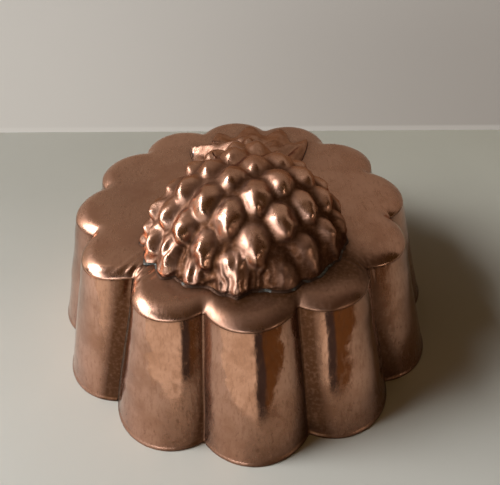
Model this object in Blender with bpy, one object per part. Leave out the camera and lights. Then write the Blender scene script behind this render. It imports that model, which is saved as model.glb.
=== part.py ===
# Dessert mould of tinned sheet copper, standing on its rim: fluted wall, top plate, hollow pineapple relief.
import math
from collections import namedtuple

import bmesh
import bpy
import numpy as np
from mathutils import Vector, geometry

# Fluted wall, measured on its outer face. A flute rises from the chord between the two valleys beside it.
FLUTES = 12
RIM_VALLEY_RADIUS = 0.0727
RIM_FLUTE_RISE = 0.0092
TOP_VALLEY_RADIUS = 0.0571
TOP_FLUTE_RISE = 0.0080
VALLEY_FILLET = 0.0022
WALL_SHEET = 0.0009
RIM_LIP_SWELL = 0.0003
RIM_LIP_HEIGHT = 0.0010

# Top plate: a rounded edge, a shoulder that sits above the wall's end and a flange let into the wall.
PLATE_HEIGHT = 0.0544
PLATE_SHEET = 0.0009
PLATE_EDGE_RADIUS = 0.0030
SHOULDER_HEIGHT = 0.0009
FLANGE_DEPTH = 0.0050

# Clearance between two pieces that are soldered or brazed together.
FIT_GAP = 0.0003

# Solder under the flange, braze in the wall's seam and solder round the relief's foot.
JOINT_BEAD_WIDTH = 0.0014
JOINT_BEAD_HEIGHT = 0.0018
SEAM_WIDTH = 0.0011
SEAM_RECESS = 0.0001
SEAM_VALLEY_DEGREES = -45.0
FOOT_BEAD_WIDTH = 0.0013
FOOT_BEAD_HEIGHT = 0.0008
FOOT_BEAD_LEAN = 0.0005

# Pineapple relief. Margins run from the plate's flat face at a flute's middle to the fruit and to the crown.
RELIEF_SHEET = 0.0009
RELIEF_FRONT_MARGIN = 0.0082
RELIEF_BACK_MARGIN = 0.0050
RELIEF_OFFSET_X = -0.0005
RELIEF_TURN_DEGREES = -5.0
OPENING_LEDGE = 0.0008
FRUIT_HALF_WIDTH = 0.0336
FRUIT_FRONT_LENGTH = 0.0284
FRUIT_BACK_LENGTH = 0.0430
FRUIT_BACK_TAPER = 1.75
FRUIT_HEIGHT = 0.0230

# Eyes of the fruit: a lattice of diamonds, every other row moved by half a column, each with a blunt nose.
EYE_COLUMN = 0.0156
EYE_ROW = 0.0083
EYE_SHIFT = 0.0035
FIRST_ROW_REACH = 0.0340
EYE_DIAMOND_RISE = 0.0010
EYE_NOSE_RISE = 0.0030
EYE_NOSE_WIDTH = 0.38
EYE_NOSE_LENGTH = 0.74
EYE_NOSE_LEAN = 0.18
EYE_NOSE_SHARPNESS = 1.2

# Below the hold height the eyes run straight down to the foot, at this share of their full rise.
EYE_HOLD_HEIGHT = 0.0028
EYE_FULL_HEIGHT = 0.0065
EYE_FOOT_SHARE = 0.28

# Crown: leaves fanned out on the plate behind the fruit, with a short leaf over each gap between two of them.
LEAVES = 5
LEAF_STEP_DEGREES = 11.5
LEAF_NOTCH_DEPTH = 0.0070
LEAF_SPREAD_LOSS = 0.0080
LEAF_ROOT_SHARE = 0.60
LEAF_ROOT_HEIGHT = 0.0070
LEAF_EDGE_HEIGHT = 0.0017
LEAF_GROOVE = 0.55
LEAF_GROOVE_START = 0.10
LEAF_GROOVE_FULL = 0.60
LEAF_BLEND = 4.0
LEAF_SHEET_SHARE = 0.75
SHORT_LEAF_PLACE = 0.42
SHORT_LEAF_LENGTH = 0.20
SHORT_LEAF_RISE = 0.0040
CROWN_EDGE_DEGREES = 22.0
CROWN_BLEND_DEGREES = 14.0

# Mesh fineness, and the band in which the relief's inner face turns square to its outline.
FLUTE_SEGMENTS = 7
FILLET_SEGMENTS = 3
EDGE_SEGMENTS = 3
BEAD_SEGMENTS = 2
RELIEF_COLUMNS = 44
RELIEF_FRONT_ROWS = 18
RELIEF_BACK_ROWS = 28
SQUARE_START = 0.55
SQUARE_END = 0.95
SHARP_DEGREES = 32.0
RELIEF_SHARP_DEGREES = 70.0

HALF_FLUTE = math.pi / FLUTES
EDGE_START = PLATE_HEIGHT - PLATE_EDGE_RADIUS
SHOULDER = EDGE_START - SHOULDER_HEIGHT
WALL_TOP = SHOULDER - FIT_GAP
FLANGE_OUTSIDE = WALL_SHEET + FIT_GAP
FLANGE_INSIDE = FLANGE_OUTSIDE + PLATE_SHEET
FLANGE_END = SHOULDER - FLANGE_DEPTH
RELIEF_BASE = PLATE_HEIGHT + FIT_GAP

Flute = namedtuple("Flute", "radius centre fillet_centre span")


def clear_scene():
    for existing in list(bpy.data.objects):
        bpy.data.objects.remove(existing, do_unlink=True)


def smooth_step(value, start, end):
    share = np.clip((value - start) / (end - start), 0.0, 1.0)
    return share * share * (3.0 - 2.0 * share)


def turned(points, angle):
    cosine = math.cos(angle)
    sine = math.sin(angle)
    x = points[:, 0] * cosine - points[:, 1] * sine
    y = points[:, 0] * sine + points[:, 1] * cosine
    return np.stack([x, y], axis=1)


def on_arc(centre, radius, angles):
    return np.stack([centre[0] + radius * np.cos(angles), centre[1] + radius * np.sin(angles)], axis=1)


def at_height(ring, z):
    return np.column_stack([ring, np.full(len(ring), z)])


def flute_shape(z):
    """Arc of a flute whose middle lies on +X, and the fillet in the valley after it, at one height."""
    share = z / WALL_TOP
    valley = RIM_VALLEY_RADIUS + (TOP_VALLEY_RADIUS - RIM_VALLEY_RADIUS) * share
    rise = RIM_FLUTE_RISE + (TOP_FLUTE_RISE - RIM_FLUTE_RISE) * share
    half_chord = valley * math.sin(HALF_FLUTE)
    radius = (half_chord ** 2 + rise ** 2) / (2.0 * rise)
    centre = valley * math.cos(HALF_FLUTE) + rise - radius
    reach = math.sqrt((radius + VALLEY_FILLET) ** 2 - (centre * math.sin(HALF_FLUTE)) ** 2)
    fillet_distance = centre * math.cos(HALF_FLUTE) + reach
    fillet_x = fillet_distance * math.cos(HALF_FLUTE)
    fillet_y = fillet_distance * math.sin(HALF_FLUTE)
    span = math.atan2(fillet_y, fillet_x - centre)
    return Flute(radius, centre, (fillet_x, fillet_y), span)


def flute_ring(z, inset):
    """Closed plan outline of all flutes at one height, moved inwards by the inset."""
    shape = flute_shape(z)
    arc_angles = np.linspace(-shape.span, shape.span, FLUTE_SEGMENTS + 1)
    fillet_turn = np.linspace(shape.span, 2.0 * HALF_FLUTE - shape.span, FILLET_SEGMENTS + 1)
    flute = on_arc((shape.centre, 0.0), shape.radius - inset, arc_angles)
    fillet = on_arc(shape.fillet_centre, VALLEY_FILLET + inset, math.pi + fillet_turn[1:-1])
    one = np.concatenate([flute, fillet])
    return np.concatenate([turned(one, flute_angle(number)) for number in range(FLUTES)])


def flute_angle(number):
    """Direction of a flute's middle; flute 0 faces the front."""
    return 2.0 * HALF_FLUTE * number - math.pi / 2.0


def flute_after_seam():
    return round((math.radians(SEAM_VALLEY_DEGREES) + HALF_FLUTE) / (2.0 * HALF_FLUTE))


def open_flute_ring(z, inset):
    """Plan outline of the wall band, which starts and ends beside the braze in the seam's valley."""
    shape = flute_shape(z)
    bend = VALLEY_FILLET + inset
    free = math.asin((SEAM_WIDTH / 2.0 + FIT_GAP) / bend)
    steps = np.array([free, (free + shape.span - HALF_FLUTE) / 2.0])
    valley = math.pi + HALF_FLUTE
    start = on_arc(shape.fillet_centre, bend, valley - steps)
    end = on_arc(shape.fillet_centre, bend, valley + steps[::-1])
    points_per_flute = FLUTE_SEGMENTS + FILLET_SEGMENTS
    whole = np.roll(flute_ring(z, inset), -points_per_flute * flute_after_seam(), axis=0)
    body = whole[:1 - FILLET_SEGMENTS]
    turn = flute_angle(flute_after_seam() - 1)
    return np.concatenate([turned(start, turn), body, turned(end, turn)])


def seam_corners(z):
    """Four plan corners of the braze strip between the two ends of the band."""
    direction = math.radians(SEAM_VALLEY_DEGREES) - math.pi / 2.0
    along = np.array([math.cos(direction), math.sin(direction)])
    across = np.array([-along[1], along[0]])
    fillet_distance = math.hypot(*flute_shape(z).fillet_centre)
    corners = []
    for inset, side in ((SEAM_RECESS, -1), (SEAM_RECESS, 1), (WALL_SHEET, 1), (WALL_SHEET, -1)):
        depth = math.sqrt((VALLEY_FILLET + inset) ** 2 - (SEAM_WIDTH / 2.0) ** 2)
        corners.append(along * (fillet_distance - depth) + across * side * SEAM_WIDTH / 2.0)
    return np.array(corners)


def material(name, colour, metallic, roughness):
    made = bpy.data.materials.new(name)
    made.use_nodes = True
    shader = made.node_tree.nodes["Principled BSDF"]
    shader.inputs["Base Color"].default_value = (*colour, 1.0)
    shader.inputs["Metallic"].default_value = metallic
    shader.inputs["Roughness"].default_value = roughness
    return made


def wall_copper():
    return material("wall_copper", (0.50, 0.27, 0.19), 1.0, 0.30)


def plate_copper():
    return material("plate_copper", (0.44, 0.25, 0.18), 1.0, 0.38)


def relief_copper():
    return material("relief_copper", (0.42, 0.22, 0.15), 1.0, 0.32)


def seam_braze():
    return material("seam_braze", (0.52, 0.40, 0.22), 1.0, 0.45)


def joint_solder():
    return material("joint_solder", (0.60, 0.60, 0.58), 1.0, 0.45)


def foot_solder():
    return material("foot_solder", (0.46, 0.46, 0.44), 1.0, 0.50)


def face_outwards(mesh):
    working = bmesh.new()
    working.from_mesh(mesh)
    bmesh.ops.recalc_face_normals(working, faces=working.faces)
    working.to_mesh(mesh)
    working.free()


def add_object(name, vertices, faces, surface, sharp_degrees=SHARP_DEGREES):
    mesh = bpy.data.meshes.new(name)
    mesh.from_pydata([tuple(map(float, vertex)) for vertex in vertices], [], faces)
    face_outwards(mesh)
    mesh.shade_smooth()
    mesh.set_sharp_from_angle(angle=math.radians(sharp_degrees))
    mesh.materials.append(surface)
    bpy.context.scene.collection.objects.link(bpy.data.objects.new(name, mesh))


def ring_faces(start_a, start_b, count, closed=True):
    """Quads between two rings of equal length, given by the numbers of their first points."""
    faces = []
    for index in range(count if closed else count - 1):
        following = (index + 1) % count
        faces.append((start_a + index, start_a + following, start_b + following, start_b + index))
    return faces


def swept_solid(rings, closed):
    """Solid whose section is the loop that the rings run round; an open one gets an end face at each end."""
    count = len(rings[0])
    starts = [number * count for number in range(len(rings))]
    faces = []
    for start, following in zip(starts, starts[1:] + starts[:1]):
        faces += ring_faces(start, following, count, closed)
    if not closed:
        faces.append(tuple(starts))
        faces.append(tuple(start + count - 1 for start in reversed(starts)))
    return np.concatenate(rings), faces


def make_side_wall():
    section = [(-RIM_LIP_SWELL, 0.0), (-RIM_LIP_SWELL, RIM_LIP_HEIGHT), (0.0, RIM_LIP_HEIGHT + RIM_LIP_SWELL),
               (0.0, WALL_TOP), (WALL_SHEET, WALL_TOP), (WALL_SHEET, 0.0)]
    rings = [at_height(open_flute_ring(z, inset), z) for inset, z in section]
    vertices, faces = swept_solid(rings, closed=False)
    add_object("side_wall", vertices, faces, wall_copper())


def make_side_seam():
    rings = [at_height(seam_corners(z), z) for z in (FIT_GAP, WALL_TOP)]
    corners = len(rings[0])
    faces = [tuple(range(corners)), tuple(range(corners, 2 * corners))]
    faces += ring_faces(0, corners, corners)
    add_object("side_seam_braze", np.concatenate(rings), faces, seam_braze())


def rounded_edge(radius, angles):
    """Insets and heights of points round the plate's edge."""
    return [(PLATE_EDGE_RADIUS - radius * math.cos(a), EDGE_START + radius * math.sin(a)) for a in angles]


def holed_face(outer, outer_start, hole, hole_start):
    """Triangles of a flat face between an outer ring and a hole's ring."""
    numbers = list(range(outer_start, outer_start + len(outer)))
    numbers += list(range(hole_start, hole_start + len(hole)))
    loops = [[Vector(point) for point in outer], [Vector(point) for point in hole]]
    return [tuple(numbers[corner] for corner in triangle) for triangle in geometry.tessellate_polygon(loops)]


def make_top_plate():
    fan = np.linspace(0.0, math.pi / 2.0, EDGE_SEGMENTS + 1)
    section = rounded_edge(PLATE_EDGE_RADIUS - PLATE_SHEET, fan[::-1])
    section += [(FLANGE_INSIDE, EDGE_START - (FLANGE_INSIDE - PLATE_SHEET)), (FLANGE_INSIDE, FLANGE_END),
                (FLANGE_OUTSIDE, FLANGE_END), (FLANGE_OUTSIDE, SHOULDER), (0.0, SHOULDER)]
    section += rounded_edge(PLATE_EDGE_RADIUS, fan)
    rings = [at_height(flute_ring(z, inset), z) for inset, z in section]
    count = len(rings[0])
    faces = []
    for number in range(len(rings) - 1):
        faces += ring_faces(number * count, (number + 1) * count, count)
    opening = opening_outline()
    under_hole = at_height(opening, PLATE_HEIGHT - PLATE_SHEET)
    top_hole = at_height(opening, PLATE_HEIGHT)
    under_start = len(rings) * count
    top_start = under_start + len(opening)
    faces += holed_face(rings[0], 0, under_hole, under_start)
    faces += holed_face(rings[-1], (len(rings) - 1) * count, top_hole, top_start)
    faces += ring_faces(under_start, top_start, len(opening))
    add_object("top_plate", np.concatenate(rings + [under_hole, top_hole]), faces, plate_copper())


def make_joint_solder():
    top = FLANGE_END - FIT_GAP
    wall_side = WALL_SHEET + FIT_GAP
    section = [(wall_side, top - JOINT_BEAD_HEIGHT), (wall_side, top), (wall_side + JOINT_BEAD_WIDTH, top)]
    rings = [at_height(flute_ring(z, inset), z) for inset, z in section]
    vertices, faces = swept_solid(rings, closed=True)
    add_object("plate_joint_solder", vertices, faces, joint_solder())


def relief_grid():
    """A square grid bent onto a disc: distances from its middle, and angles clockwise from the crown."""
    side = np.linspace(-1.0, 1.0, RELIEF_COLUMNS + 1)
    front = np.linspace(-1.0, 0.0, RELIEF_FRONT_ROWS + 1)
    back = np.linspace(0.0, 1.0, RELIEF_BACK_ROWS + 1)[1:]
    u, v = (part.ravel() for part in np.meshgrid(side, np.concatenate([front, back])))
    across = u * np.sqrt(1.0 - v ** 2 / 2.0)
    along = v * np.sqrt(1.0 - u ** 2 / 2.0)
    return np.hypot(across, along), np.arctan2(across, along)


def grid_triangles():
    """Two triangles to a cell, split along the line that runs towards the nearest corner of the grid."""
    width = RELIEF_COLUMNS + 1
    faces = []
    for row in range(RELIEF_FRONT_ROWS + RELIEF_BACK_ROWS):
        for column in range(RELIEF_COLUMNS):
            a = row * width + column
            b, c, d = a + 1, a + width + 1, a + width
            if (row < RELIEF_FRONT_ROWS) == (column < RELIEF_COLUMNS / 2):
                faces += [(a, b, c), (a, c, d)]
            else:
                faces += [(a, b, d), (b, c, d)]
    return faces


def edge_numbers():
    """Numbers of the grid's edge points, in order round the edge."""
    width = RELIEF_COLUMNS + 1
    rows = RELIEF_FRONT_ROWS + RELIEF_BACK_ROWS
    front = list(range(RELIEF_COLUMNS))
    right = [row * width + RELIEF_COLUMNS for row in range(rows)]
    back = [rows * width + column for column in range(RELIEF_COLUMNS, 0, -1)]
    left = [row * width for row in range(rows, 0, -1)]
    return front + right + back + left


def plate_flat_reach():
    """From the mould's middle to the end of the plate's flat face, at a flute's middle."""
    shape = flute_shape(PLATE_HEIGHT)
    return shape.centre + shape.radius - PLATE_EDGE_RADIUS


def fruit_centre_y():
    return RELIEF_FRONT_MARGIN + FRUIT_FRONT_LENGTH - plate_flat_reach()


def leaf_tip_reach():
    """From the fruit's centre to the tip of the middle leaf."""
    return plate_flat_reach() - RELIEF_BACK_MARGIN - fruit_centre_y()


def fruit_reach(angle):
    to_back = np.cos(angle) > 0.0
    length = np.where(to_back, FRUIT_BACK_LENGTH, FRUIT_FRONT_LENGTH)
    taper = np.where(to_back, FRUIT_BACK_TAPER, 2.0)
    across = np.abs(np.sin(angle) / FRUIT_HALF_WIDTH)
    along = np.abs(np.cos(angle) / length)
    return (across ** taper + along ** taper) ** (-1.0 / taper)


def crown_share(angle):
    """One in the crown's directions, falling to nothing beside it."""
    start = math.radians(CROWN_EDGE_DEGREES)
    end = math.radians(CROWN_EDGE_DEGREES + CROWN_BLEND_DEGREES)
    return 1.0 - smooth_step(np.abs(angle), start, end)


def leaf_wave(angle):
    """One at a leaf's middle line, falling to nothing half way to the next leaf."""
    return 0.5 + 0.5 * np.cos(2.0 * math.pi * angle / math.radians(LEAF_STEP_DEGREES))


def relief_reach(angle, notch_depths):
    """From the fruit's centre to the relief's foot, its leaf line so many notch depths inside the tips."""
    outermost = math.radians(LEAF_STEP_DEGREES * (LEAVES // 2))
    tips = leaf_tip_reach() - LEAF_SPREAD_LOSS * (angle / outermost) ** 2
    leaf = tips - LEAF_NOTCH_DEPTH * notch_depths
    fruit = fruit_reach(angle)
    return fruit + (leaf - fruit) * crown_share(angle)


def on_plate(x, y):
    """Plan places on the plate, from places measured across and along the fruit."""
    plan = turned(np.stack([x, y], axis=1), math.radians(RELIEF_TURN_DEGREES))
    return plan + np.array([RELIEF_OFFSET_X, fruit_centre_y()])


def outline_on_plate(reach, angle):
    return on_plate(reach * np.sin(angle), reach * np.cos(angle))


def opening_outline():
    """Outline of the hole in the plate, inside the relief's foot and notches, at every second grid point."""
    angle = relief_grid()[1][edge_numbers()[::2]]
    return outline_on_plate(relief_reach(angle, 1.0) - RELIEF_SHEET - OPENING_LEDGE, angle)


def outward(outline):
    """Unit vectors that point out of a closed outline whose points run anticlockwise."""
    along = np.roll(outline, -1, axis=0) - np.roll(outline, 1, axis=0)
    normal = np.stack([along[:, 1], -along[:, 0]], axis=1)
    return normal / np.linalg.norm(normal, axis=1)[:, None]


def dome_height(out):
    """Height of the plain fruit, at a distance given as a share of its reach."""
    return FRUIT_HEIGHT * np.sqrt(1.0 - np.clip(out, 0.0, 1.0) ** 2)


def dome_normals(x, y, height):
    length = np.where(y > 0.0, FRUIT_BACK_LENGTH, FRUIT_FRONT_LENGTH)
    normal = np.stack([x / FRUIT_HALF_WIDTH ** 2, y / length ** 2, height / FRUIT_HEIGHT ** 2], axis=1)
    return normal / np.linalg.norm(normal, axis=1)[:, None]


def row_place(y, height):
    """Place along the fruit's skin, counted in rows of eyes from the first row, near its front foot."""
    forward = np.clip(-y / FRUIT_FRONT_LENGTH, 0.0, 1.0)
    tilt = (np.arctan2(forward, height / FRUIT_HEIGHT) + np.arcsin(forward)) / 2.0
    return (FIRST_ROW_REACH - np.where(y > 0.0, -y, tilt * FRUIT_FRONT_LENGTH)) / EYE_ROW


def eye_rise(x, y, height):
    """How far an eye stands out at a place on the fruit: a diamond with steep sides and a nose on it."""
    bend = np.arcsin(np.clip(x / FRUIT_HALF_WIDTH, -1.0, 1.0))
    across = (bend * FRUIT_HALF_WIDTH - EYE_SHIFT) / EYE_COLUMN
    along = row_place(y, height)
    even = (np.floor(across) + 0.5, 2.0 * np.round(along / 2.0))
    odd = (np.round(across), 2.0 * np.floor(along / 2.0) + 1.0)
    even_far, odd_far = (np.abs(across - column) * 2.0 + np.abs(along - row) for column, row in (even, odd))
    column, row = (np.where(even_far < odd_far, even[axis], odd[axis]) for axis in range(2))
    sideways = (across - column) / EYE_NOSE_WIDTH
    lengthways = (along - row + EYE_NOSE_LEAN) / EYE_NOSE_LENGTH
    nose = np.clip(1.0 - sideways ** 2 - lengthways ** 2, 0.0, 1.0) ** EYE_NOSE_SHARPNESS
    return EYE_DIAMOND_RISE * (1.0 - np.minimum(even_far, odd_far)) + EYE_NOSE_RISE * nose


def leaf_height(angle, distance):
    """Height of the crown, from its root inside the fruit to its edge, with a groove between two leaves."""
    root = LEAF_ROOT_SHARE * fruit_reach(angle)
    foot = relief_reach(angle, 1.0 - leaf_wave(angle))
    along = np.clip((distance - root) / (foot - root), 0.0, 1.0)
    top = LEAF_ROOT_HEIGHT + (LEAF_EDGE_HEIGHT - LEAF_ROOT_HEIGHT) * along
    between = 1.0 - leaf_wave(angle)
    groove = LEAF_GROOVE * between * smooth_step(along, LEAF_GROOVE_START, LEAF_GROOVE_FULL)
    short_leaf = between * np.clip(1.0 - np.abs(along - SHORT_LEAF_PLACE) / SHORT_LEAF_LENGTH, 0.0, 1.0)
    return (top * (1.0 - groove) + SHORT_LEAF_RISE * short_leaf) * crown_share(angle)


def push_directions(plan, share, angle):
    """Plan directions out of the relief: away from its middle inside, square to its outline near the foot."""
    edge = edge_numbers()
    order = np.argsort(angle[edge])
    at_edge = outward(plan[edge])[order]
    square = np.stack([np.interp(angle, angle[edge][order], at_edge[:, axis], period=2.0 * math.pi)
                       for axis in range(2)], axis=1)
    away = np.stack([np.sin(angle), np.cos(angle)], axis=1)
    near_edge = smooth_step(share, SQUARE_START, SQUARE_END)[:, None]
    push = away * (1.0 - near_edge) + square * near_edge
    return push / np.linalg.norm(push, axis=1)[:, None]


def relief_skins():
    """Outer and inner points of the relief over the grid, with the fruit's centre and foot as zero."""
    share, angle = relief_grid()
    slope = share * math.pi / 2.0
    crown = crown_share(angle)
    foot = relief_reach(angle, 1.0 - leaf_wave(angle))
    distance = foot * (np.sin(slope) * (1.0 - crown) + share * crown)
    plan = np.stack([distance * np.sin(angle), distance * np.cos(angle)], axis=1)
    out = distance / fruit_reach(angle)
    dome = dome_height(out)
    height = (dome ** LEAF_BLEND + leaf_height(angle, distance) ** LEAF_BLEND) ** (1.0 / LEAF_BLEND)
    hold = math.sqrt(1.0 - (EYE_HOLD_HEIGHT / FRUIT_HEIGHT) ** 2)
    held = plan * np.minimum(1.0, hold / np.maximum(out, hold))[:, None]
    foot_share = EYE_FOOT_SHARE * (1.0 - crown)
    strength = foot_share + (1.0 - foot_share) * smooth_step(dome, EYE_HOLD_HEIGHT, EYE_FULL_HEIGHT)
    rise = strength * eye_rise(held[:, 0], held[:, 1], np.maximum(dome, EYE_HOLD_HEIGHT))
    outer = np.column_stack([plan, height]) + dome_normals(*plan.T, dome) * rise[:, None]
    down = np.maximum(np.cos(slope), LEAF_SHEET_SHARE * crown)
    edge = edge_numbers()
    outer[edge, 2] = 0.0
    down[edge] = 0.0
    push = push_directions(plan, share, angle) * np.sin(slope)[:, None]
    inner = outer - RELIEF_SHEET * np.column_stack([push, down])
    return outer, inner


def on_plate_points(points):
    return np.column_stack([on_plate(points[:, 0], points[:, 1]), points[:, 2] + RELIEF_BASE])


def make_relief():
    outer, inner = relief_skins()
    count = len(outer)
    faces = grid_triangles()
    faces += [tuple(count + corner for corner in reversed(face)) for face in grid_triangles()]
    edge = edge_numbers()
    for corner, following in zip(edge, edge[1:] + edge[:1]):
        faces.append((following, corner, count + corner, count + following))
    points = np.concatenate([on_plate_points(outer), on_plate_points(inner)])
    add_object("pineapple_relief", points, faces, relief_copper(), RELIEF_SHARP_DEGREES)


def make_foot_solder():
    foot = on_plate_points(relief_skins()[0][edge_numbers()])[:, :2]
    angle = relief_grid()[1][edge_numbers()]
    normal = outward(outline_on_plate(relief_reach(angle, 1.0 - leaf_wave(angle)), angle))
    rings = [at_height(foot + normal * FIT_GAP, RELIEF_BASE)]
    for turn in np.linspace(0.0, math.pi / 2.0, BEAD_SEGMENTS + 1):
        far = FIT_GAP + FOOT_BEAD_LEAN + (FOOT_BEAD_WIDTH - FOOT_BEAD_LEAN) * math.cos(turn)
        rings.append(at_height(foot + normal * far, RELIEF_BASE + FOOT_BEAD_HEIGHT * math.sin(turn)))
    vertices, faces = swept_solid(rings, closed=True)
    add_object("foot_solder", vertices, faces, foot_solder())


clear_scene()
make_side_wall()
make_side_seam()
make_top_plate()
make_joint_solder()
make_relief()
make_foot_solder()
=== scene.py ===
import math

import bpy
import numpy as np
from mathutils import Matrix, Vector, kdtree, noise


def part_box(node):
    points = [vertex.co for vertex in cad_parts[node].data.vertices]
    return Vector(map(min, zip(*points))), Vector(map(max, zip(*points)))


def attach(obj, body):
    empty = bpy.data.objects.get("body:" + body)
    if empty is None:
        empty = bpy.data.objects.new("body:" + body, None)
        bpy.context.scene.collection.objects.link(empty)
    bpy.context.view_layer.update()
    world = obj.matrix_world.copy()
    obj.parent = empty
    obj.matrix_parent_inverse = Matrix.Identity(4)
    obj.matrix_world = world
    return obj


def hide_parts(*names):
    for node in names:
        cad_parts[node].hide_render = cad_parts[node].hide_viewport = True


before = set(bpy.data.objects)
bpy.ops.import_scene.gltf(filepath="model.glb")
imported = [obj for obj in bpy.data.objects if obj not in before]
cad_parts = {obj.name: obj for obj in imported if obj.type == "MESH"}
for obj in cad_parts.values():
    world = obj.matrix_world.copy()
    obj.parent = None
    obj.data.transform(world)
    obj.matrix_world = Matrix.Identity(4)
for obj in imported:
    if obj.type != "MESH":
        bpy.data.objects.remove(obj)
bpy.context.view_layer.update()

# Fluted wall, in metres. Valleys lie between the flutes, and the rise is how far a flute bulges.
FLUTES = 12
HALF_FLUTE = math.pi / FLUTES
RIM_VALLEY_RADIUS = 0.0715
RIM_FLUTE_RISE = 0.0102
TOP_VALLEY_RADIUS = 0.0560
TOP_FLUTE_RISE = 0.0091
VALLEY_FILLET = 0.0009
SHEET = 0.0009
RIM_LIP_SWELL = 0.0003
RIM_LIP_HEIGHT = 0.0010

# Top plate: a pillowed edge, wider than it is high, over a shoulder, with a flange let into the wall.
PLATE_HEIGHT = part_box("top_plate")[1][2]
EDGE_HEIGHT = 0.0030
EDGE_WIDTH = 0.0046
EDGE_START = math.radians(20.0)
SHOULDER_DROP = 0.0004
JOINT_GAP = 0.0003
SHOULDER = PLATE_HEIGHT - EDGE_HEIGHT - SHOULDER_DROP
WALL_TOP = SHOULDER - JOINT_GAP
FLANGE_DEPTH = 0.0050
JOINT_LINE = 0.00008

# Valleys, as angles from the front, positive to the right. The seam's valley is drawn in towards its top.
SEAM_VALLEY = math.radians(-45.0)
FRONT_VALLEY = math.radians(15.0)
RIGHT_VALLEY = math.radians(45.0)
SEAM_PINCH = 0.0034
SEAM_PINCH_SPREAD = 0.0075
SEAM_WIDTH = 0.0006
SEAM_CLEARANCE = 0.0001

# Dents, ripples and creases of the old sheet, with the depths and lengths of their waves.
DENT_DEPTH = 0.00034
DENT_LENGTH = 0.0145
SMALL_DENT_LENGTH = 0.45 * DENT_LENGTH
SMALL_DENT_SHARE = 0.28
PLATE_HOLD = 0.8
BATTERED_FLUTE = -1
BATTERED_SPREAD = 0.22
BATTERED_SHARE = 0.20
RIPPLE_DEPTH = 0.00007
RIPPLE_LENGTH = 0.0035
PLATE_WAVE_DEPTH = 0.00022
PLATE_WAVE_LENGTH = 0.017
SMALL_WAVE_LENGTH = 0.35 * PLATE_WAVE_LENGTH
SMALL_WAVE_SHARE = 0.35
PLATE_SAG = 0.6
WAVES_BELOW_TOP = 0.0004
CREASE_BEND = 0.0012
CREASE_BEND_LENGTH = 0.009

# Each creased valley, how far its folds spread beside it, how far apart they are and how deep.
CREASED_VALLEYS = ((SEAM_VALLEY, 0.0062, 0.0026, 0.00042), (RIGHT_VALLEY, 0.0050, 0.0022, 0.00022))

# Pineapple: an egg-shaped dome, seen from above with its crown at the back.
RELIEF_DROP = 0.0002
RELIEF_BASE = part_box("pineapple_relief")[0][2] - RELIEF_DROP
FRUIT_CENTRE = (0.0005, -0.0222)
RELIEF_TURN = math.radians(-5.0)
FRUIT_HALF_WIDTH = 0.0342
FRUIT_FRONT_LENGTH = 0.0270
FRUIT_BACK_LENGTH = 0.0430
FRUIT_FRONT_TAPER = 2.0
FRUIT_BACK_TAPER = 1.48
FRUIT_HEIGHT = 0.0230
FRONT_SLOPE_POWER = 0.46
OPENING_MARGIN = 0.0017

# Lattice of the fruit's eyes. Below the hold height they run straight down to the foot.
EYE_COLUMN = 0.0156
EYE_ROW = 0.0083
EYE_SHIFT = 0.0037
FIRST_ROW_REACH = 0.0318
EYE_LEAN = 0.03
EYE_FAN = 0.11
RIGHT_STRETCH = 0.09
EYE_RISE = 0.0027
EYE_DIAMOND_RISE = 0.0009
EYE_HOLD_HEIGHT = 0.0080
EYE_FULL_HEIGHT = 0.0100

# Shape of one eye, in columns across and in rows along, from 1 at its back to about -1 at its nose.
EYE_HALF_WIDTH = 0.40
EYE_BACK_RISE = 0.52
EYE_ARCH_START = 0.10
EYE_NARROWING = 0.45
EYE_FULLNESS = 0.68
NOSE_FULLNESS = 0.25

# How much one eye differs from the next: size, place across, place along, rise, and depth of a petal's fold.
EYE_SCATTER = (0.09, 0.04, 0.09, 0.12, 0.9)

# Petals, which are the eyes at the foot: their ridge lies to one side, and a fold runs down the other.
PETAL_RIDGE_SHIFT = 0.17
PETAL_RIGHT_FLANK = -0.6
PETAL_SHARPNESS = 0.75
PETAL_FOLD_DEPTH = 0.50
PETAL_FOLD_PLACE = 0.50
PETAL_FOLD_WIDTH = 0.24

# Where the eyes are lower: at the foot on the right, at the back on the left, and where the crown begins.
FOOT_LOSS = 0.65
LEFT_BACK_LOSS = 0.40
CROWN_START_LOSS = 0.85

# Wrinkles and tool marks of the relief.
WRINKLES = ((0.0040, 0.00040, 6.0), (0.0019, 0.00022, 7.0))
TOOL_MARK_DEPTH = 0.0020
TOOL_MARK_LENGTH = 0.0030
TOOL_MARK_LEVEL = 0.35
SMOOTH_FOOT = 0.0015

# Crown: leaves fanned out on the plate, their tips nearer at the sides, with a short leaf between two.
LEAVES = 5
LEAF_STEP = math.radians(11.5)
LEAF_TIP_REACH = 0.0760
LEAF_NOTCH_DEPTH = 0.0070
LEAF_SPREAD_LOSS = 0.0080
LEFT_LEAF_LOSS = 0.0060
SIDE_TIP_ANGLE = math.radians(-25.3)
SIDE_TIP_REACH = 0.0088
SIDE_TIP_SPREAD = math.radians(1.9)
CROWN_EDGE = math.radians(22.0)
CROWN_BLEND = math.radians(8.0)
LEAF_ROOT_SHARE = 0.60
LEAF_ROOT_HEIGHT = 0.0070
LEAF_EDGE_HEIGHT = 0.0011
GROOVE_DEPTH = 0.55
GROOVE_POWER = 1.5
MIDRIB_RISE = 0.10
MIDRIB_SPREAD = 0.004
SHORT_LEAF_RISE = 0.0022
SHORT_LEAF_PLACE = 0.42
SHORT_LEAF_LENGTH = 0.2
CROWN_RIM = 0.0025
CROWN_UNDERSIDE = 0.75

# Bumps of the crown: place across and along the fruit, and size.
CROWN_BUMPS = ((-0.0042, 0.0600, 0.0034), (0.0040, 0.0612, 0.0044), (-0.0002, 0.0548, 0.0040))
CROWN_BUMP_RISE = 0.0024
CROWN_BUMP_STEEPNESS = 1.6

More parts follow.
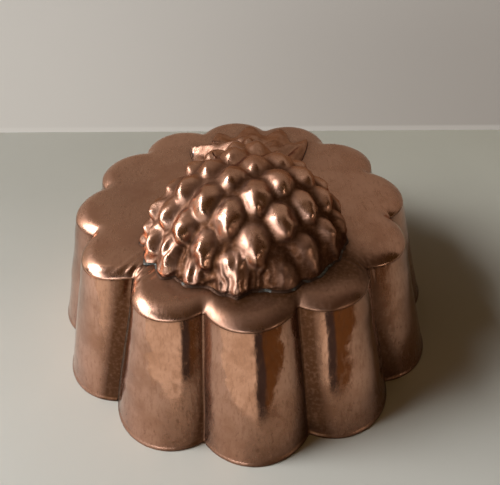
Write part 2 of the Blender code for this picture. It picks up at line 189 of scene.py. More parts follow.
# Raised side leaves: root across and along the fruit, tip across and along it, and the heights of both.
SIDE_LEAVES = ((-0.0080, 0.0450, -0.0258, 0.0546, 0.0108, 0.0026),
               (-0.0050, 0.0500, -0.0180, 0.0620, 0.0072, 0.0018),
               (0.0090, 0.0480, 0.0256, 0.0600, 0.0066, 0.0012),
               (0.0060, 0.0520, 0.0160, 0.0670, 0.0050, 0.0010))
LEAF_FRONT_SLOPE = 0.90
LEAF_BACK_SLOPE = 1.3
LEAF_NARROWING = 1.6
LEAF_RIDGE_ROUND = 0.0010

# Solder and braze. A pair of width or height is its middle and how far it wanders.
FOOT_BEAD_WIDTH = (0.0007, 0.0005)
FOOT_BEAD_HEIGHT = (0.0005, 0.0002)
FOOT_BEAD_BACK_SHARE = 0.25
FOOT_BEAD_UNDERCUT = 0.0002
FOOT_BEAD_SINK = 0.0001
FOOT_BEAD_LIFT = 0.00005
BEAD_HOLLOW = 0.18
JOINT_BEAD_WIDTH = 0.0014
JOINT_BEAD_HEIGHT = 0.0018
JOINT_BEAD_SAG = 0.00025
JOINT_BEAD_HELD = 0.0002
BEAD_CLEARANCE = 0.0001
BRAZE_WANDER = 0.00008
BRAZE_PROUD = 0.00012

# Mesh fineness.
FLUTE_SEGMENTS = 34
FILLET_SEGMENTS = 8
SEAM_SEGMENTS = 4
WALL_ROWS = 60
PLATE_ROWS = 28
EDGE_ROWS = 13
BEAD_POINTS = 7
BRAZE_ROWS = 40
BRAZE_POINTS = 12
RELIEF_COLUMNS = 150
RELIEF_FRONT_ROWS = 62
RELIEF_BACK_ROWS = 94
OPENING_POINTS = 720
SHARP_DEGREES = 60.0

# Darkening of the wall: dirt and pits at its foot, painted shade in the valleys and low down, and a painted
# shadow at the joint. Share of darkening and how far it reaches.
VALLEY_WIDTH = 0.21
VALLEY_PAINTED_SHADE = 0.46
DEEP_VALLEY_PAINTED_SHADE = 0.25
WALL_JOINT_PAINTED_SHADOW = 0.25
WALL_JOINT_REACH = 0.0006
FOOT_DIRT = 0.45
FOOT_LINE_REACH = 0.0010
FOOT_HAZE = 0.35
FOOT_HAZE_REACH = 0.011
LOW_PAINTED_SHADE = 0.50
LOW_PAINTED_SHADE_REACH = 0.022
WALL_PITS = (0.12, 0.42, 0.014)

# Painted dark reflections on flanks: valley, how far to its right the dark band's middle lies, half width
# and share of dark colour.
FLANK_PAINTED_REFLECTIONS = ((FRONT_VALLEY, 0.0032, 0.0027, 0.76), (RIGHT_VALLEY, 0.0034, 0.0034, 0.30),
                (SEAM_VALLEY, -0.0034, 0.0027, 0.76))

# Darkening of the plate, most of it round the relief's foot, with painted shade in front of the relief, at
# the joint and in patches. Patches: middle, half width, half length and share.
FOOT_RING_DARKENING = 0.60
FOOT_RING_REACH = 0.0018
FOOT_RING_BACK_LOSS = 0.7
FOOT_HALO_DARKENING = 0.28
FOOT_HALO_FRONT_PAINTED_SHADE = 0.30
FOOT_HALO_REACH = 0.0090
SEAM_VALLEY_DARKENING = 0.25
SEAM_VALLEY_DARKENING_REACH = 0.0034
PLATE_JOINT_PAINTED_SHADOW = 0.25
PLATE_JOINT_REACH = 0.0004
PLATE_PITS = 0.25
PLATE_PAINTED_SHADE_PATCHES = ((-0.046, 0.010, 0.016, 0.026, 0.36), (0.034, -0.042, 0.013, 0.010, 0.80),
                (0.004, -0.056, 0.020, 0.008, 0.45))

# Darkening of the relief: patina and painted shade between the eyes, more painted shade towards the back
# right, darker at the foot, and painted shade low at the right.
CROWN_HOLLOW_LOSS = 0.7
HOLLOW_PATINA_AND_PAINTED_SHADE = 0.72
HOLLOW_BACK_PAINTED_SHADE = 0.34
RELIEF_FOOT_DARKENING = 0.4
RELIEF_FOOT_REACH = 0.0015
LOW_RIGHT_PAINTED_SHADE = 0.48
RELIEF_PITS = 0.2

# Camera, and the line where the worktop meets the wall behind it.
CAMERA_PLACE = (-0.0047, -0.1525, 0.1659)
CAMERA_RIGHT = (0.9975, -0.0662, -0.0248)
CAMERA_UP = (0.0624, 0.6605, 0.7482)
CAMERA_BACK = (-0.0332, -0.7479, 0.6630)
CAMERA_LENS = 35.28
CAMERA_SENSOR = 36.0
CAMERA_SHIFT = 0.0052
WALL_BASE_Y = 0.1508
WALL_BASE_SLOPE = -0.100
WALL_HEIGHT = 1.3
STAGE_REACH = 1.6

# Lamp at the left, with the window's colour, and the dim light of the room.
WINDOW_PLACE = (-0.96, 0.01, 0.70)
WINDOW_TARGET = (0.0, 0.0, 0.03)
WINDOW_WIDTH = 0.48
WINDOW_HEIGHT = 0.60
WINDOW_POWER = 16.0
WINDOW_COLOUR = (0.88, 1.0, 1.18)
ROOM_COLOUR = (0.068, 0.043, 0.014)
FAR_WALL_COLOUR = (0.45, 0.42, 0.38)

# What the copper mirrors. Windows: name, first and second end in plan, foot, top, colour and strength.
# Bands of the room, seen past the worktop's front edge: name, left and right end, colour and strength.
WORKTOP_EDGE = -0.110
MIRRORED_WINDOWS = (("side_window", (-1.0, -0.20), (-1.0, -1.00), 0.16, 0.90, WINDOW_COLOUR, 6.0),
                    ("front_window", (-1.0, -1.0), (-0.30, -1.27), 0.04, 0.40, WINDOW_COLOUR, 7.0),
                    ("right_window", (0.82, -1.10), (1.02, -0.92), 0.05, 0.22, (1.0, 0.93, 0.85), 9.0))
ROOM_BANDS = (("room_pale_band", -5.0, 0.09, (1.0, 0.97, 0.88), 0.95),
              ("room_dark_band", 0.09, 0.47, (0.07, 0.06, 0.06), 1.0),
              ("room_brown_band", 0.47, 5.0, (0.16, 0.09, 0.035), 1.0))
ROOM_DISTANCE = 1.3
ROOM_BANDS_FOOT = -2.5
ROOM_BANDS_TOP = -0.01
CEILING_NEAR = 0.2
CEILING_FAR = -1.8
CEILING_DIM = -1.0


def smooth_step(value, start, end):
    share = np.clip((value - start) / (end - start), 0.0, 1.0)
    return share * share * (3.0 - 2.0 * share)


def falloff(distance, width):
    """One at no distance, about a third at one width and next to nothing beyond two."""
    return np.exp(-(distance / width) ** 2)


def wander(points, length, seed):
    """Smooth noise from -1 to 1 at points in space, which changes over about this length."""
    flat = np.reshape(points, (-1, 3)) / length + seed * 7.31
    return np.array([noise.noise(point) for point in flat]).reshape(np.shape(points)[:-1])


def scattered(column, row, seed):
    """A number from -1 to 1 for each eye, the same in every run."""
    wave = np.sin(column * 12.9898 + row * 78.233 + seed * 37.719) * 43758.5453
    return 2.0 * (wave - np.floor(wave)) - 1.0


def unit(vectors):
    return vectors / np.maximum(np.linalg.norm(vectors, axis=-1, keepdims=True), 1e-12)


def turned(points, angle):
    x = points[..., 0] * math.cos(angle) - points[..., 1] * math.sin(angle)
    y = points[..., 0] * math.sin(angle) + points[..., 1] * math.cos(angle)
    return np.stack([x, y], axis=-1)


def on_arc(centre, radius, angles):
    return np.stack([centre[0] + radius * np.cos(angles), centre[1] + radius * np.sin(angles)], axis=-1)


def at_height(ring, z):
    return np.concatenate([ring, np.broadcast_to(np.reshape(z, (-1, 1)), (len(ring), 1))], axis=1)


def flute_shape(z):
    """Radius, centre, fillet centre and half span of a flute whose middle lies on +X, at one height."""
    share = z / WALL_TOP
    valley = RIM_VALLEY_RADIUS + (TOP_VALLEY_RADIUS - RIM_VALLEY_RADIUS) * share
    rise = RIM_FLUTE_RISE + (TOP_FLUTE_RISE - RIM_FLUTE_RISE) * share
    half_chord = valley * math.sin(HALF_FLUTE)
    radius = (half_chord ** 2 + rise ** 2) / (2.0 * rise)
    centre = valley * math.cos(HALF_FLUTE) + rise - radius
    reach = math.sqrt((radius + VALLEY_FILLET) ** 2 - (centre * math.sin(HALF_FLUTE)) ** 2)
    distance = centre * math.cos(HALF_FLUTE) + reach
    fillet_centre = (distance * math.cos(HALF_FLUTE), distance * math.sin(HALF_FLUTE))
    span = math.atan2(fillet_centre[1], fillet_centre[0] - centre)
    return radius, centre, fillet_centre, span


def flute_angle(number):
    """Direction of a flute's middle; flute 0 faces the front."""
    return 2.0 * HALF_FLUTE * number - math.pi / 2.0


def flute_ring(z, inset):
    """Closed plan outline of all flutes at one height, moved inwards by the inset."""
    radius, centre, fillet_centre, span = flute_shape(z)
    arc_angles = span * np.sin(np.linspace(-math.pi / 2.0, math.pi / 2.0, FLUTE_SEGMENTS + 1))
    fillet_angles = math.pi + np.linspace(span, 2.0 * HALF_FLUTE - span, FILLET_SEGMENTS + 1)[1:-1]
    flute = on_arc((centre, 0.0), radius - inset, arc_angles)
    fillet = on_arc(fillet_centre, VALLEY_FILLET + inset, fillet_angles)
    one = np.concatenate([flute, fillet])
    return np.concatenate([turned(one, flute_angle(number)) for number in range(FLUTES)])


def open_ring(z, inset):
    """The same outline for the wall band, which starts and ends beside the braze in the seam's valley."""
    fillet_centre, span = flute_shape(z)[2:]
    bend = VALLEY_FILLET + inset
    free = math.asin((SEAM_WIDTH / 2.0 + SEAM_CLEARANCE) / bend)
    steps = np.linspace(free, span - HALF_FLUTE, SEAM_SEGMENTS + 1)[:-1]
    valley = math.pi + HALF_FLUTE
    after_seam = round((SEAM_VALLEY + HALF_FLUTE) / (2.0 * HALF_FLUTE))
    points_per_flute = FLUTE_SEGMENTS + FILLET_SEGMENTS
    whole = np.roll(flute_ring(z, inset), -points_per_flute * after_seam, axis=0)
    start = turned(on_arc(fillet_centre, bend, valley - steps), flute_angle(after_seam - 1))
    end = turned(on_arc(fillet_centre, bend, valley + steps[::-1]), flute_angle(after_seam - 1))
    return np.concatenate([start, whole[:1 - FILLET_SEGMENTS], end])


def sweep(ring_at, section):
    """Grid of points: one ring for each inset and height of a section."""
    return np.stack([at_height(ring_at(z, inset), z) for inset, z in section])


def grid_faces(rows, columns, closed):
    """Quads of a grid of points, its columns closed into rings or not."""
    row = np.arange(rows - 1)[:, None]
    column = np.arange(columns if closed else columns - 1)[None, :]
    following = (column + 1) % columns
    corners = (row * columns + column, row * columns + following,
               (row + 1) * columns + following, (row + 1) * columns + column)
    return np.stack(corners, axis=-1).reshape(-1, 4)


def border_edges(rows, columns, closed):
    """Pairs of point numbers along the grid's border, anticlockwise seen from outside."""
    number = np.arange(rows * columns).reshape(rows, columns)
    if closed:
        loops = [number[0], number[-1, ::-1]]
    else:
        loops = [np.concatenate([number[0, :-1], number[:-1, -1], number[-1, :0:-1], number[:0:-1, 0]])]
    return np.concatenate([np.stack([loop, np.roll(loop, -1)], axis=1) for loop in loops])


def add_object(name, mesh):
    made = bpy.data.objects.new(name, mesh)
    bpy.context.scene.collection.objects.link(made)
    return made


def add_mesh(name, points, faces, surfaces, slots, **attributes):
    """A smooth mesh object. Slots give each face's material, and each attribute holds a value per point."""
    mesh = bpy.data.meshes.new(name)
    mesh.from_pydata(np.reshape(points, (-1, 3)).tolist(), [], [tuple(map(int, face)) for face in faces])
    for surface in surfaces:
        mesh.materials.append(surface)
    mesh.polygons.foreach_set("material_index", np.asarray(slots, dtype=np.int32))
    for attribute_name, values in attributes.items():
        layer = mesh.attributes.new(attribute_name, "FLOAT", "POINT")
        layer.data.foreach_set("value", np.asarray(values, dtype=np.float32).ravel())
    mesh.shade_smooth()
    mesh.set_sharp_from_angle(angle=math.radians(SHARP_DEGREES))
    return add_object(name, mesh)


def as_node(piece, cad_node):
    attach(piece, "root")
    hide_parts(cad_node)


def add_shell(name, outer, inner, closed, surfaces, **attributes):
    """A closed sheet between two grids of points. The second material is inside, the first elsewhere."""
    rows, columns = outer.shape[:2]
    count = rows * columns
    skin = grid_faces(rows, columns, closed)
    border = border_edges(rows, columns, closed)
    rim = np.stack([border[:, 1], border[:, 0], border[:, 0] + count, border[:, 1] + count], axis=1)
    faces = np.concatenate([skin, rim, skin[:, ::-1] + count])
    slots = np.repeat([0, 0, 1], [len(skin), len(rim), len(skin)])
    both = {key: np.concatenate([values.ravel(), values.ravel()]) for key, values in attributes.items()}
    points = np.concatenate([outer.reshape(-1, 3), inner.reshape(-1, 3)])
    return add_mesh(name, points, faces, surfaces, slots, **both)


def add_bead(name, rings, surface):
    """A closed ring of solder, from rings of points that run round the mould."""
    rows, columns = rings.shape[:2]
    faces = grid_faces(rows + 1, columns, True) % (rows * columns)
    return add_mesh(name, rings, faces, [surface], np.zeros(len(faces)))


def feed(made, inputs):
    """Gives a shader node's inputs their links or values."""
    for key, value in inputs.items():
        socket = made.inputs[key]
        if isinstance(value, bpy.types.NodeSocket):
            made.id_data.links.new(value, socket)
        else:
            socket.default_value = (*value, 1.0) if socket.type == "RGBA" else value


def node(tree, kind, inputs=(), **settings):
    """A shader node with its settings, and with values or links for its inputs."""
    made = tree.nodes.new(kind)
    for key, value in settings.items():
        setattr(made, key, value)
    feed(made, dict(inputs))
    return made


def own_place(tree):
    return node(tree, "ShaderNodeTexCoord").outputs["Object"]


def own_axes(tree):
    """The place on the object, as three numbers."""
    return node(tree, "ShaderNodeSeparateXYZ", {"Vector": own_place(tree)}).outputs


def stretched_noise(tree, scales, detail=3.0, rough=0.5):
    """Noise over the object's place, with a count of waves per metre along each axis."""
    mapped = node(tree, "ShaderNodeMapping", {"Vector": own_place(tree), "Scale": scales}).outputs["Vector"]
    inputs = {"Vector": mapped, "Scale": 1.0, "Detail": detail, "Roughness": rough}
    return node(tree, "ShaderNodeTexNoise", inputs).outputs["Fac"]


def ranged(value, low, high, to_low=0.0, to_high=1.0):
    inputs = {"Value": value, "From Min": low, "From Max": high, "To Min": to_low, "To Max": to_high}
    made = node(value.id_data, "ShaderNodeMapRange", inputs, interpolation_type="SMOOTHSTEP")
    return made.outputs["Result"]


def times(a, b):
    return node(a.id_data, "ShaderNodeMath", {0: a, 1: b}, operation="MULTIPLY").outputs["Value"]


def plus(a, b):
    return node(a.id_data, "ShaderNodeMath", {0: a, 1: b}, operation="ADD").outputs["Value"]


def mixed(share, a, b):
    """Colour a, mixed with colour b by a share."""
    inputs = {"Factor": share, 6: a, 7: b}
    return node(share.id_data, "ShaderNodeMix", inputs, data_type="RGBA").outputs[2]


def clear_where(tree, share):
    """Makes a material clear where the share is one."""
    paint = tree.nodes["Principled BSDF"].outputs["BSDF"]
    clear = node(tree, "ShaderNodeBsdfTransparent").outputs["BSDF"]
    both = node(tree, "ShaderNodeMixShader", {0: share, 1: paint, 2: clear}).outputs["Shader"]
    feed(tree.nodes["Material Output"], {"Surface": both})


def shine(tree, colour, strength):
    """Makes a material that only shines."""
    lit = node(tree, "ShaderNodeEmission", {"Color": colour, "Strength": strength}).outputs["Emission"]
    feed(tree.nodes["Material Output"], {"Surface": lit})


def attribute(tree, name):
    return node(tree, "ShaderNodeAttribute", attribute_name=name).outputs["Fac"]


def material(name):
    made = bpy.data.materials.new(name)
    made.use_nodes = True
    return made, made.node_tree, made.node_tree.nodes["Principled BSDF"]


def metal(name):
    made, tree, shader = material(name)
    feed(shader, {"Metallic": 1.0})
    return made, tree, shader


def bumped(height, distance):
    inputs = {"Height": height, "Distance": distance, "Strength": 1.0}
    return node(height.id_data, "ShaderNodeBump", inputs).outputs["Normal"]


def worn_copper(name, bright, brown, dark, edge, smooth, dull, scratch_waves, streak_share, mottle_waves,
                depth):
    """Old copper: bright where rubbed, brown in clouds, dark in dirt, painted shade and pits, and finely
    scratched.
    """
    made, tree, shader = metal(name)
    clouds = stretched_noise(tree, (mottle_waves,) * 3, detail=6.0, rough=0.62)
    specks = stretched_noise(tree, (850.0,) * 3, detail=2.0)
    scratches = stretched_noise(tree, scratch_waves, detail=4.0, rough=0.7)
    base = mixed(ranged(clouds, 0.40, 0.66), bright, brown)
    streaks = times(ranged(scratches, 0.46, 0.64), streak_share)
    base = mixed(streaks, base, brown)
    # Dark where the attribute holds dirt and painted shade.
    dirt = times(attribute(tree, "dirt"), ranged(specks, 0.25, 0.6, 0.86, 1.0))
    base = mixed(dirt, base, dark)
    marks = plus(times(specks, 0.5), times(scratches, 0.5))
    pits = times(attribute(tree, "pits"), ranged(marks, 0.56, 0.66))
    base = mixed(pits, base, dark)
    rough = ranged(clouds, 0.35, 0.70, smooth, dull)
    rough = plus(rough, times(streaks, 0.25))
    rough = plus(rough, times(dirt, 0.30))
    height = plus(times(scratches, 0.6), times(specks, 0.4))
    feed(shader, {"Base Color": base, "Specular Tint": edge, "Roughness": rough,
                  "Metallic": ranged(dirt, 0.15, 1.0, 1.0, 0.82), "Normal": bumped(height, depth)})
    return made


def wall_copper():
    return worn_copper("wall_copper", bright=(0.58, 0.315, 0.210), brown=(0.40, 0.195, 0.115),
                       dark=(0.085, 0.028, 0.006), edge=(1.0, 1.0, 1.0), smooth=0.045, dull=0.13,
                       scratch_waves=(900.0, 900.0, 20.0), streak_share=0.60, mottle_waves=55.0,
                       depth=0.00003)


def plate_copper():
    return worn_copper("plate_copper", bright=(0.49, 0.260, 0.168), brown=(0.405, 0.20, 0.122),
                       dark=(0.085, 0.031, 0.009), edge=(1.0, 0.90, 0.82), smooth=0.13, dull=0.27,
                       scratch_waves=(900.0, 220.0, 400.0), streak_share=0.35, mottle_waves=75.0,
                       depth=0.00005)


def relief_copper():
    return worn_copper("relief_copper", bright=(0.50, 0.265, 0.17), brown=(0.39, 0.195, 0.12),
                       dark=(0.085, 0.030, 0.011), edge=(0.62, 0.42, 0.33), smooth=0.22, dull=0.34,
                       scratch_waves=(620.0, 620.0, 620.0), streak_share=0.35, mottle_waves=140.0,
                       depth=0.00014)


def tin_lining():
    """Dull tin, wiped up and down."""
    made, tree, shader = metal("tin_lining")
    clouds = stretched_noise(tree, (95.0, 95.0, 60.0), detail=6.0, rough=0.65)
    wiped = stretched_noise(tree, (700.0, 700.0, 90.0), detail=3.0)
    base = mixed(ranged(clouds, 0.35, 0.70), (0.52, 0.51, 0.48), (0.30, 0.28, 0.25))
    feed(shader, {"Base Color": base, "Roughness": ranged(clouds, 0.3, 0.75, 0.30, 0.50),
                  "Normal": bumped(wiped, 0.0001)})
    return made


def solder(name, bright, brown_share):
    """Grey tin solder, tarnished brown over a share of its length."""
    made, tree, shader = metal(name)
    patches = stretched_noise(tree, (130.0,) * 3, detail=3.0)
    grain = stretched_noise(tree, (1300.0,) * 3, detail=2.0)
    dim = tuple(0.5 * part for part in bright)
    grey = mixed(ranged(grain, 0.3, 0.7), bright, dim)
    start = 0.70 - 0.40 * brown_share
    base = mixed(ranged(patches, start, start + 0.08), grey, (0.050, 0.024, 0.014))
    feed(shader, {"Base Color": base, "Roughness": ranged(grain, 0.2, 0.8, 0.45, 0.62),
                  "Normal": bumped(grain, 0.00015)})
    return made


def braze():
    made, tree, shader = metal("seam_braze")
    grain = stretched_noise(tree, (500.0, 500.0, 160.0), detail=4.0)
    base = mixed(ranged(grain, 0.35, 0.65), (0.20, 0.135, 0.090), (0.10, 0.062, 0.040))
    feed(shader, {"Base Color": base, "Roughness": ranged(grain, 0.3, 0.7, 0.30, 0.45),
                  "Normal": bumped(grain, 0.0002)})
    return made


def outward_of(valley):
    """Unit vector in plan that points out of the mould through a valley. Valley 0 faces the front."""
    direction = valley - math.pi / 2.0
    return math.cos(direction), math.sin(direction)


def valley_side(points, valley):
    """Distance from the upright plane through a valley, to the right as seen from outside."""
    x, y = outward_of(valley)
    return points[..., 1] * x - points[..., 0] * y


def on_side_of(points, valley):
    """Whether points lie in the half of the mould that has this valley in its middle."""
    x, y = outward_of(valley)
    return points[..., 0] * x + points[..., 1] * y > 0.0


def near_valley(points, valley, spread):
    """One along the upright plane through a valley, falling to nothing on either side of it."""
    return on_side_of(points, valley) * falloff(valley_side(points, valley), spread)


def valley_share(points):
    """One at the bottom of a valley between two flutes, falling to nothing up its sides."""
    turn = (np.arctan2(points[..., 1], points[..., 0]) + math.pi / 2.0) / (2.0 * HALF_FLUTE)
    return 1.0 - smooth_step(np.abs(turn - np.floor(turn) - 0.5), 0.0, VALLEY_WIDTH)


def pinched(points):
    """The seam's valley drawn in towards the top, further than the other valleys."""
    reach = np.linalg.norm(points[..., :2], axis=-1)
    share = smooth_step(points[..., 2], 0.0, PLATE_HEIGHT) * smooth_step(reach, 0.036, 0.052)
    share = share * near_valley(points, SEAM_VALLEY, SEAM_PINCH_SPREAD)
    moved = points.copy()
    moved[..., :2] *= (1.0 - SEAM_PINCH * share / np.maximum(reach, 0.001))[..., None]
    return moved


def creases(points):
    """Folds that run down into the seam's valley and into the valley at the right of the front."""
    total = 0.0
    for valley, spread, spacing, depth in CREASED_VALLEYS:
        bend = CREASE_BEND * wander(points, CREASE_BEND_LENGTH, seed=13.0)
        wave = np.cos(2.0 * math.pi * (valley_side(points, valley) + bend) / spacing)
        total = total + depth * wave * near_valley(points, valley, spread)
    return total


def wall_dents(points):
    """Soft dents and fine level ripples of the wall, as how far the sheet is pushed out."""
    z = points[..., 2]
    held = smooth_step(z, 0.002, 0.014) * (1.0 - PLATE_HOLD * smooth_step(z, 0.042, 0.050))
    turn = np.arctan2(points[..., 1], points[..., 0]) - flute_angle(BATTERED_FLUTE)
    small_share = SMALL_DENT_SHARE + BATTERED_SHARE * falloff(turn, BATTERED_SPREAD)
    dents = wander(points, DENT_LENGTH, seed=1.0) + small_share * wander(points, SMALL_DENT_LENGTH, seed=2.0)
    ripples = wander(points * np.array((0.3, 0.3, 1.0)), RIPPLE_LENGTH, seed=3.0)
    ripples = ripples * smooth_step(z, 0.022, 0.034)
    return held * (DENT_DEPTH * dents + RIPPLE_DEPTH * ripples)


def wall_dirt(outer, outward):
    """Painted shade in the wall's valleys, a painted shadow at its joint, dirt at its foot, painted shade
    low down except at the left, and painted dark reflections on some flanks.
    """
    z = outer[..., 2]
    valleys = valley_share(outer)
    # Painted shadow in a thin line under the plate's edge.
    joint = falloff(z - SHOULDER, WALL_JOINT_REACH)
    haze = FOOT_HAZE * falloff(z, FOOT_HAZE_REACH) * (0.7 + wander(outer, 0.012, seed=14.0))
    foot = np.exp(-z / FOOT_LINE_REACH) + haze
    # Painted shade, darkest at the bottom of each valley.
    dirt = VALLEY_PAINTED_SHADE * valleys + DEEP_VALLEY_PAINTED_SHADE * valleys ** 6
    dirt = dirt + WALL_JOINT_PAINTED_SHADOW * joint + FOOT_DIRT * foot
    uneven = 1.0 + 0.5 * wander(outer, 0.02, seed=15.0)
    # Painted shade low down on the flutes that face away from the window on the left.
    low = smooth_step(outward[..., 0], -0.34, -0.10) * falloff(z, LOW_PAINTED_SHADE_REACH)
    dirt = dirt + LOW_PAINTED_SHADE * low * uneven
    # Painted dark reflections: dark bands down some flanks, beside a valley.
    for valley, beside, half_width, share in FLANK_PAINTED_REFLECTIONS:
        dark_reflection = falloff(valley_side(outer, valley) - beside, half_width)
        dirt = dirt + share * dark_reflection * on_side_of(outer, valley)
    return np.clip(dirt, 0.0, 1.0)


def make_wall(surfaces):
    """The fluted band, open at the seam, with a swollen rim."""
    lip = [(-RIM_LIP_SWELL * 0.3, 0.0), (-RIM_LIP_SWELL, RIM_LIP_HEIGHT * 0.3),
           (-RIM_LIP_SWELL, RIM_LIP_HEIGHT), (-RIM_LIP_SWELL * 0.4, RIM_LIP_HEIGHT * 1.4)]
    rows = np.linspace(RIM_LIP_HEIGHT * 1.8, SHOULDER - JOINT_LINE, WALL_ROWS)
    section = lip + [(0.0, z) for z in rows]
    outer = sweep(open_ring, section)
    inner = sweep(open_ring, [(SHEET, z) for inset, z in section])
    outward = unit(outer - sweep(open_ring, [(inset + SHEET, z) for inset, z in section]))
    push = wall_dents(outer) + creases(outer) * smooth_step(outer[..., 2], 0.040, 0.050)
    outer = outer + outward * push[..., None]
    inner = inner + outward * push[..., None]
    least, more, reach = WALL_PITS
    pits = least + more * falloff(outer[..., 2], reach)
    wall = add_shell("fluted_wall", pinched(outer), pinched(inner), False, surfaces,
                     dirt=wall_dirt(outer, outward), pits=pits)
    as_node(wall, "side_wall")


def rounded_edge(inside, angles):
    """The plate's pillowed edge, from a corner at its outermost line up to the flat top."""
    section = []
    for angle in angles:
        wide = math.cos(angle) / math.cos(EDGE_START)
        high = (math.sin(angle) - math.sin(EDGE_START)) / (1.0 - math.sin(EDGE_START))
        section.append((EDGE_WIDTH - (EDGE_WIDTH - inside) * wide,
                        PLATE_HEIGHT - EDGE_HEIGHT + (EDGE_HEIGHT - inside) * high))
    return section


def fruit_reach(angle):
    """From the fruit's centre to its foot, in a direction measured clockwise from the crown."""
    to_back = np.cos(angle) > 0.0
    length = np.where(to_back, FRUIT_BACK_LENGTH, FRUIT_FRONT_LENGTH)
    taper = np.where(to_back, FRUIT_BACK_TAPER, FRUIT_FRONT_TAPER)
    across = np.abs(np.sin(angle) / FRUIT_HALF_WIDTH)
    along = np.abs(np.cos(angle) / length)
    return (across ** taper + along ** taper) ** (-1.0 / taper)


def dome_power(angle):
    """Half gives the fruit an upright foot; more, as at its front, slopes it out to the foot."""
    return 0.5 + FRONT_SLOPE_POWER * smooth_step(-np.cos(angle), -0.3, 0.9)


def crown_share(angle):
    return 1.0 - smooth_step(np.abs(angle), CROWN_EDGE, CROWN_EDGE + CROWN_BLEND)


def leaf_wave(angle):
    """One at a leaf's middle line, falling to nothing half way to the next leaf."""
    return 0.5 + 0.5 * np.cos(2.0 * math.pi * angle / LEAF_STEP)


def relief_reach(angle, notch_depths):
    """From the fruit's centre to the relief's foot, its leaf line so many notch depths inside the tips."""
    turn = angle / (LEAF_STEP * (LEAVES // 2))
    tips = LEAF_TIP_REACH - LEAF_SPREAD_LOSS * turn ** 2 - LEFT_LEAF_LOSS * np.clip(-turn, 0.0, 1.5)
    leaf = tips - LEAF_NOTCH_DEPTH * notch_depths
    fruit = fruit_reach(angle)
    side_tip = SIDE_TIP_REACH * falloff(angle - SIDE_TIP_ANGLE, SIDE_TIP_SPREAD)
    return fruit + (leaf - fruit) * crown_share(angle) + side_tip


def foot_reach(angle):
    """From the fruit's centre to the relief's foot, along its notched leaf line."""
    return relief_reach(angle, 1.0 - leaf_wave(angle))


def on_plate(x, y):
    """Plan places on the plate, from places measured across and along the fruit."""
    return turned(np.stack([x, y], axis=-1), RELIEF_TURN) + np.array(FRUIT_CENTRE)


def outline_on_plate(reach, angle):
    return on_plate(reach * np.sin(angle), reach * np.cos(angle))


def opening_ring(directions):
    """Points of the hole under the relief, in these directions from the mould's middle."""
    angle = np.linspace(-math.pi, math.pi, OPENING_POINTS + 1)[:-1]
    outline = outline_on_plate(relief_reach(angle, 1.0) - OPENING_MARGIN, angle)
    around = np.arctan2(outline[:, 1], outline[:, 0])
    reach = np.interp(directions, around, np.hypot(*outline.T), period=2.0 * math.pi)
    return np.stack([reach * np.cos(directions), reach * np.sin(directions)], axis=-1)


def distance_to(outline, points):
    """Distance in plan from each point to the nearest point of an outline."""
    tree = kdtree.KDTree(len(outline))
    for number, place in enumerate(outline):
        tree.insert((*place, 0.0), number)
    tree.balance()
    flat = points.reshape(-1, 3)
    return np.array([tree.find((x, y, 0.0))[2] for x, y, z in flat]).reshape(points.shape[:-1])


def flat_rows(edge_ring, height):
    """Rows of points from the plate's rounded edge to the hole under the relief."""
    hole = opening_ring(np.arctan2(edge_ring[:, 1], edge_ring[:, 0]))
    shares = np.linspace(0.0, 1.0, PLATE_ROWS + 1)[1:, None, None]
    plan = edge_ring + (hole - edge_ring) * shares
    return np.concatenate([plan, np.full((*plan.shape[:2], 1), height)], axis=-1)


def plate_dirt(outer, from_foot):
    """Darker round the relief's foot with painted shade in front of it, painted shade in patches, darker in
    the seam's valley, and a painted shadow at the joint with the wall.
    """
    x, y, z = np.moveaxis(outer, -1, 0)
    # Darker round the relief's foot, less at the back, with wider painted shade in front of the relief.
    ring = FOOT_RING_DARKENING * (1.0 - FOOT_RING_BACK_LOSS * smooth_step(y, 0.008, 0.026))
    halo = FOOT_HALO_DARKENING + FOOT_HALO_FRONT_PAINTED_SHADE * smooth_step(y, -0.030, -0.048)
    dirt = ring * np.exp(-from_foot / FOOT_RING_REACH) + halo * np.exp(-from_foot / FOOT_HALO_REACH)
    # Painted shade in patches at the left, the front and the front right of the plate.
    for middle_x, middle_y, half_width, half_length, share in PLATE_PAINTED_SHADE_PATCHES:
        dirt = dirt + share * falloff(x - middle_x, half_width) * falloff(y - middle_y, half_length)
    # Darker along the seam's valley.
    dirt = dirt + SEAM_VALLEY_DARKENING * near_valley(outer, SEAM_VALLEY, SEAM_VALLEY_DARKENING_REACH)
    # Painted shadow in a thin line at the joint, under the rounded edge.
    dirt = dirt + PLATE_JOINT_PAINTED_SHADOW * falloff(z - SHOULDER, PLATE_JOINT_REACH)
    return np.clip(dirt, 0.0, 1.0)


